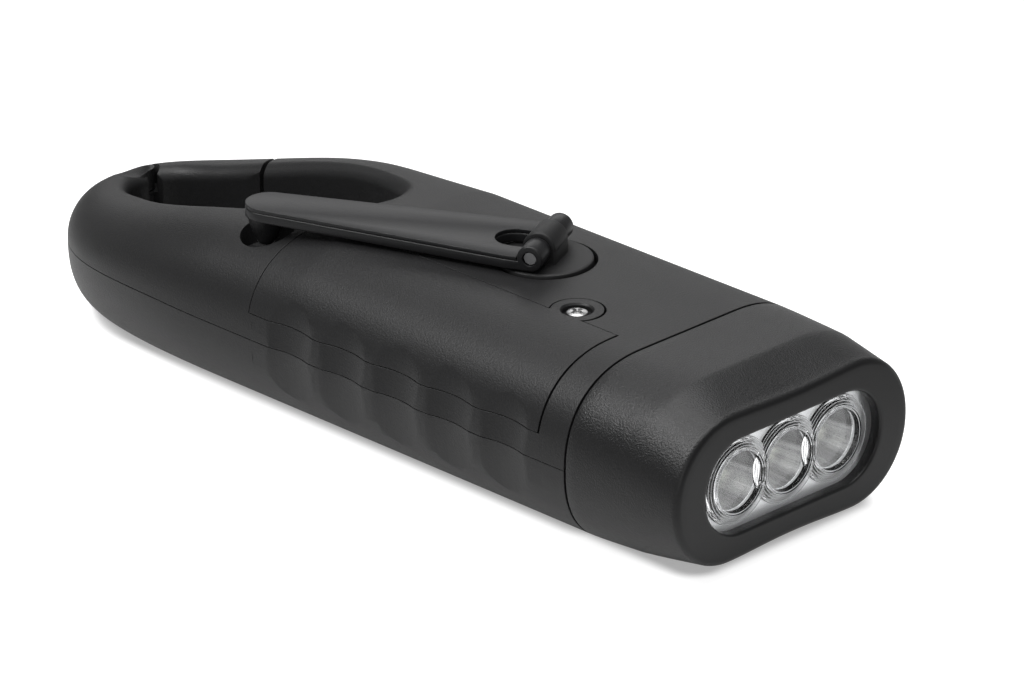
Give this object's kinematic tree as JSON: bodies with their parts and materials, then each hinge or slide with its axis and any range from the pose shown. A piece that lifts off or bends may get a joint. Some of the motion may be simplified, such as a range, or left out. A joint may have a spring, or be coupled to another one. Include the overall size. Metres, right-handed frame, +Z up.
{
  "type": "hand crank flashlight",
  "caption": "Pocket torch with a fold-out dynamo crank on its top face, a slot lens over LED cups at the front, and a sprung carabiner loop as its tail.",
  "frame": {"origin": "centre of the body's footprint, on the underside", "axes": "+X from the carabiner tail to the lens, +Y across the body away from the battery cover, +Z up from the underside to the crank"},
  "size_m": [0.146, 0.051, 0.0338],
  "materials": {
    "casing": "fine textured charcoal black",
    "bezel": "coarser grained charcoal black",
    "button": "smooth black",
    "crank": "satin black",
    "lens": "clear polished",
    "reflector": "mirror bright",
    "led": "clear epoxy with pale yellow",
    "board": "green solder mask",
    "switch": "black",
    "capacitor": "dark blue sleeve",
    "gear": "natural nylon",
    "magnet": "dark ferrite",
    "coil": "enamelled copper winding",
    "cell": "green sleeve",
    "contact": "nickel plated",
    "plate": "zinc plated sheet",
    "steel": "bright zinc plated"
  },
  "bodies": {
    "casing": {"upper_casing": "casing", "lower_casing": "casing", "battery_cover": "casing", "battery_cover_screw": "steel", "casing_screw_1": "steel", "casing_screw_2": "steel", "casing_screw_3": "steel", "casing_screw_4": "steel", "head_bezel": "bezel", "lens": "lens", "reflector": "reflector", "led_1": "led", "led_2": "led", "led_3": "led", "led_board": "board", "gear_plate_upper": "plate", "gear_plate_lower": "plate", "gearbox_screw_1": "steel", "gearbox_screw_2": "steel", "gearbox_screw_3": "steel", "idler_axle_1": "steel", "idler_axle_2": "steel", "stator_coil": "coil", "stator_yoke": "plate", "battery_cell_1": "cell", "battery_cell_2": "cell", "contact_rear": "contact", "contact_front_1": "contact", "contact_front_2": "contact", "circuit_board": "board", "power_switch": "switch", "capacitor": "capacitor", "gate_pin": "steel", "gate_spring": "steel"},
    "crank": {"crank_hub": "crank", "crank_gear": "gear", "crank_gear_screw": "steel", "crank_hinge_pin": "steel"},
    "arm": {"crank_arm": "crank", "crank_arm_cover": "crank"},
    "knob": {"crank_knob": "crank", "knob_washer": "steel"},
    "idler_1": {"idler_gear_1": "gear"},
    "idler_2": {"idler_gear_2": "gear"},
    "rotor": {"rotor_shaft": "steel", "rotor_magnet": "magnet"},
    "gate": {"carabiner_gate": "casing"},
    "button": {"push_button": "button"}
  },
  "joints": [
    {"name": "crank_spin", "type": "hinge", "parent": "casing", "child": "crank", "pos_m": [0.019, 0.0037, 0], "axis": [0, 0, 1], "continuous": true},
    {"name": "crank_fold", "type": "hinge", "parent": "crank", "child": "arm", "pos_m": [0.019, 0.0037, 0.03125], "axis": [-0.4195, 0.9078, 0], "range_deg": [0, 180]},
    {"name": "knob_spin", "type": "hinge", "parent": "arm", "child": "knob", "pos_m": [-0.02131, -0.01492, 0], "axis": [0, 0, 1], "continuous": true},
    {"name": "idler_1_spin", "type": "hinge", "parent": "casing", "child": "idler_1", "pos_m": [0.03169, 0.00962, 0], "axis": [0, 0, 1], "continuous": true},
    {"name": "idler_2_spin", "type": "hinge", "parent": "casing", "child": "idler_2", "pos_m": [0.03997, 0.00026, 0], "axis": [0, 0, 1], "continuous": true},
    {"name": "rotor_spin", "type": "hinge", "parent": "casing", "child": "rotor", "pos_m": [0.02881, 0.00304, 0], "axis": [0, 0, 1], "continuous": true},
    {"name": "gate_open", "type": "hinge", "parent": "casing", "child": "gate", "pos_m": [-0.0691, 0.0026, 0], "axis": [0, 0, -1], "range_deg": [0, 25], "stiffness_Nm_per_rad": 0.05, "springref_deg": -5.73},
    {"name": "button_press", "type": "slide", "parent": "casing", "child": "button", "axis": [0, 0, 1], "range_m": [0, 0.0006], "stiffness_N_per_m": 900, "springref_m": -0.0006}
  ],
  "couplings": [
    {"joint": "idler_1_spin", "follows": "crank_spin", "ratio": -3.6667},
    {"joint": "idler_2_spin", "follows": "crank_spin", "ratio": 14.667},
    {"joint": "rotor_spin", "follows": "crank_spin", "ratio": -52.8}
  ]
}
